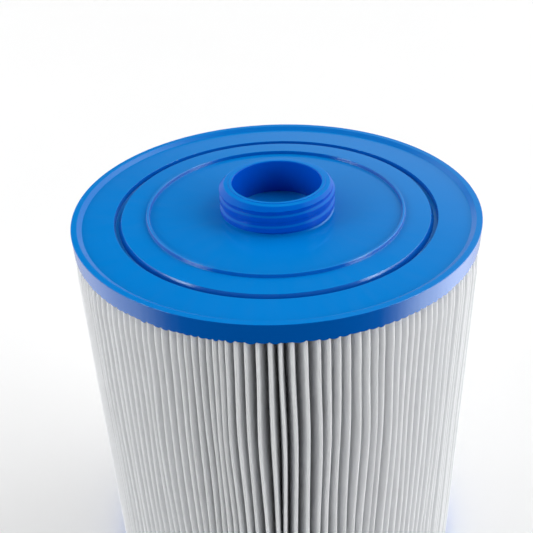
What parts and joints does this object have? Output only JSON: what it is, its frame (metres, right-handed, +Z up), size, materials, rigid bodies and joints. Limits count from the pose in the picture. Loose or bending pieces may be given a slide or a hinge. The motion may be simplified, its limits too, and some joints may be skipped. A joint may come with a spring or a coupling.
{
  "type": "filter cartridge",
  "caption": "Round pleated filter cartridge with a cast end cap at each end, a short threaded neck on top and an open outlet below.",
  "frame": {"origin": "centre of the plane that the lower rim stands on", "axes": "+Z up along the cartridge's axis, towards the threaded neck; +X to the right seen from the front"},
  "size_m": [0.2168, 0.2168, 0.2541],
  "materials": {
    "cap_resin": "glossy cast resin, blue",
    "neck_plastic": "glossy moulded plastic, deeper blue",
    "core_plastic": "matte moulded plastic, off-white",
    "media_fabric": "spunbond polyester, white",
    "seam_plastic": "hot-melt strip, milky"
  },
  "bodies": {
    "root": {"top_end_cap": "cap_resin", "threaded_neck": "neck_plastic", "core_plug": "core_plastic", "core_tube": "core_plastic", "pleated_media": "media_fabric", "side_seam_strip": "seam_plastic", "outlet_ring": "neck_plastic", "bottom_end_cap": "cap_resin"}
  },
  "joints": []
}
